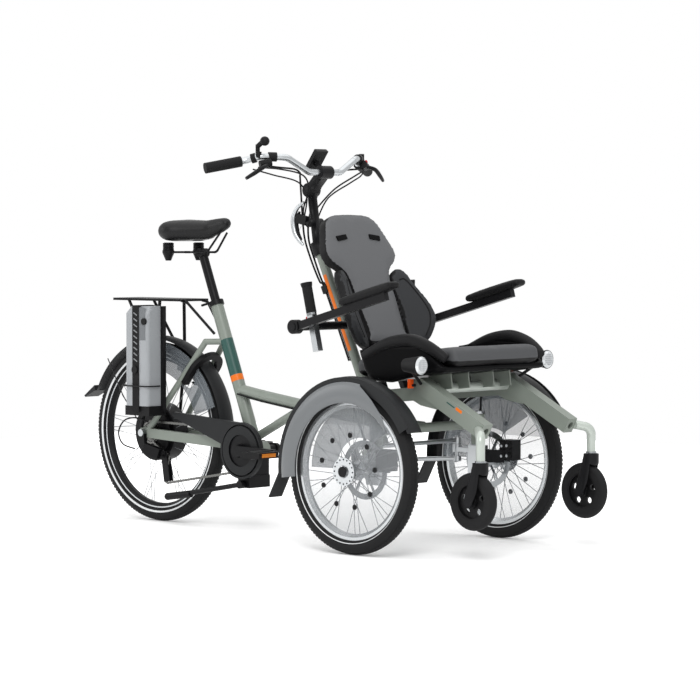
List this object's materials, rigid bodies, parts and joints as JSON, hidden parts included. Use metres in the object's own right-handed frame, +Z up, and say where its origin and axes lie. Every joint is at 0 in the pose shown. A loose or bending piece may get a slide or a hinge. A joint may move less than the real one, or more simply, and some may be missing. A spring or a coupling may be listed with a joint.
{
  "type": "wheelchair bicycle",
  "caption": "Wheelchair bicycle: a reclined chair with armrests between steered front wheels, joined to a low-step rear frame with saddle, crank, drum-motor rear wheel, carrier and handlebar.",
  "frame": {"origin": "on the floor, in the middle of the part's length and width", "axes": "+X forward, +Y to the rider's left, +Z up"},
  "size_m": [2.037, 0.78, 1.271],
  "materials": {
    "sage_paint": "satin grey-green powder coat",
    "black_paint": "satin black",
    "silver_metal": "bright brushed aluminium",
    "chain_steel": "oiled steel",
    "black_plastic": "matt black",
    "grey_plastic": "satin pale grey",
    "smoked_panel": "smoked clear sheet",
    "tyre": "matt",
    "grip_rubber": "matt",
    "dark_vinyl": "satin dark vinyl",
    "grey_fabric": "woven charcoal"
  },
  "bodies": {
    "chassis": {"main_frame": "sage_paint", "front_frame": "sage_paint", "seat_post": "black_paint", "saddle": "dark_vinyl", "saddle_springs": "black_paint", "derailleur": "black_paint", "chain": "chain_steel", "chain_guard": "black_plastic", "stand_bracket": "black_paint", "rear_mudguard": "black_plastic", "skirt_guard": "smoked_panel", "ring_lock": "black_plastic", "carrier": "black_paint", "battery": "grey_plastic", "battery_holder": "black_plastic", "caster_legs": "silver_metal", "seat_base": "black_plastic", "seat_cushion": "dark_vinyl", "backrest_frame": "black_paint", "back_panel": "grey_fabric", "back_wings": "dark_vinyl", "push_handles": "black_plastic", "lamps": "silver_metal", "frame_cables": "grip_rubber"},
    "rear_wheel": {"rear_tyre": "tyre", "rear_wheel": "black_paint"},
    "crank": {"crankset": "black_paint"},
    "pedal_right": {"pedal_right": "black_plastic"},
    "pedal_left": {"pedal_left": "black_plastic"},
    "stand": {"stand_leg": "black_paint"},
    "steering": {"steering_column": "sage_paint", "column_clamp": "black_paint", "handlebar": "silver_metal", "grips": "grip_rubber", "brake_levers": "black_plastic", "display": "black_plastic", "bell": "black_plastic", "steering_cables": "grip_rubber"},
    "knuckle_right": {"knuckle_right": "silver_metal", "front_mudguard_right": "black_plastic", "dress_guard_right": "smoked_panel"},
    "knuckle_left": {"knuckle_left": "silver_metal", "front_mudguard_left": "black_plastic", "dress_guard_left": "smoked_panel"},
    "track_rod": {"track_rod": "silver_metal"},
    "drag_link": {"drag_link": "silver_metal"},
    "front_wheel_right": {"front_tyre_right": "tyre", "front_wheel_right": "silver_metal", "spoke_disc_right": "smoked_panel"},
    "front_wheel_left": {"front_tyre_left": "tyre", "front_wheel_left": "silver_metal", "spoke_disc_left": "smoked_panel"},
    "caster_fork_right": {"caster_fork_right": "black_paint"},
    "caster_fork_left": {"caster_fork_left": "black_paint"},
    "caster_wheel_right": {"caster_wheel_right": "tyre"},
    "caster_wheel_left": {"caster_wheel_left": "tyre"},
    "armrest_right": {"armrest_bar_right": "black_paint", "armrest_pad_right": "dark_vinyl"},
    "armrest_left": {"armrest_bar_left": "black_paint", "armrest_pad_left": "dark_vinyl"}
  },
  "joints": [
    {"name": "rear_wheel_spin", "type": "hinge", "parent": "chassis", "child": "rear_wheel", "pos_m": [-0.6675, 0, 0.3005], "axis": [0, 1, 0], "continuous": true},
    {"name": "crank_spin", "type": "hinge", "parent": "chassis", "child": "crank", "pos_m": [-0.2175, 0, 0.262], "axis": [0, 1, 0], "continuous": true},
    {"name": "pedal_right_spin", "type": "hinge", "parent": "crank", "child": "pedal_right", "pos_m": [-0.0475, -0.158, 0.262], "axis": [0, 1, 0], "continuous": true},
    {"name": "pedal_left_spin", "type": "hinge", "parent": "crank", "child": "pedal_left", "pos_m": [-0.3875, 0.158, 0.262], "axis": [0, 1, 0], "continuous": true},
    {"name": "stand_fold", "type": "hinge", "parent": "chassis", "child": "stand", "pos_m": [-0.2175, -0.075, 0.152], "axis": [0, -1, 0], "range_deg": [0, 14], "stiffness_Nm_per_rad": 6, "springref_deg": -34.38},
    {"name": "steering_turn", "type": "hinge", "parent": "chassis", "child": "steering", "pos_m": [0.3084, 0, 0.378], "axis": [-0.4163, 0, 0.9092], "range_deg": [-25, 25]},
    {"name": "knuckle_right_turn", "type": "hinge", "parent": "chassis", "child": "knuckle_right", "pos_m": [0.5245, -0.238, 0.33], "axis": [0, 0, 1], "range_deg": [-25, 25]},
    {"name": "knuckle_left_turn", "type": "hinge", "parent": "chassis", "child": "knuckle_left", "pos_m": [0.5245, 0.238, 0.33], "axis": [0, 0, 1], "range_deg": [-25, 25]},
    {"name": "track_rod_pivot", "type": "hinge", "parent": "knuckle_right", "child": "track_rod", "pos_m": [0.4385, -0.238, 0.312], "axis": [0, 0, 1], "range_deg": [-25, 25]},
    {"name": "drag_link_pivot", "type": "hinge", "parent": "knuckle_left", "child": "drag_link", "pos_m": [0.4385, 0.238, 0.254], "axis": [0, 0, 1], "range_deg": [-25, 25]},
    {"name": "front_wheel_right_spin", "type": "hinge", "parent": "knuckle_right", "child": "front_wheel_right", "pos_m": [0.5245, -0.34, 0.253], "axis": [0, 1, 0], "continuous": true},
    {"name": "front_wheel_left_spin", "type": "hinge", "parent": "knuckle_left", "child": "front_wheel_left", "pos_m": [0.5245, 0.34, 0.253], "axis": [0, 1, 0], "continuous": true},
    {"name": "caster_fork_right_swivel", "type": "hinge", "parent": "chassis", "child": "caster_fork_right", "pos_m": [0.9585, -0.262, 0.29], "axis": [0, 0, 1], "continuous": true},
    {"name": "caster_fork_left_swivel", "type": "hinge", "parent": "chassis", "child": "caster_fork_left", "pos_m": [0.9585, 0.262, 0.29], "axis": [0, 0, 1], "continuous": true},
    {"name": "caster_wheel_right_spin", "type": "hinge", "parent": "caster_fork_right", "child": "caster_wheel_right", "pos_m": [0.9325, -0.262, 0.18], "axis": [0, 1, 0], "continuous": true},
    {"name": "caster_wheel_left_spin", "type": "hinge", "parent": "caster_fork_left", "child": "caster_wheel_left", "pos_m": [0.9325, 0.262, 0.18], "axis": [0, 1, 0], "continuous": true},
    {"name": "armrest_right_lift", "type": "hinge", "parent": "chassis", "child": "armrest_right", "pos_m": [0.2405, -0.296, 0.68], "axis": [0, -1, 0], "range_deg": [0, 95]},
    {"name": "armrest_left_lift", "type": "hinge", "parent": "chassis", "child": "armrest_left", "pos_m": [0.2405, 0.296, 0.68], "axis": [0, -1, 0], "range_deg": [0, 95]}
  ],
  "couplings": [
    {"joint": "knuckle_right_turn", "follows": "steering_turn", "ratio": 1},
    {"joint": "knuckle_left_turn", "follows": "steering_turn", "ratio": 1},
    {"joint": "track_rod_pivot", "follows": "steering_turn", "ratio": -1},
    {"joint": "drag_link_pivot", "follows": "steering_turn", "ratio": -1}
  ]
}
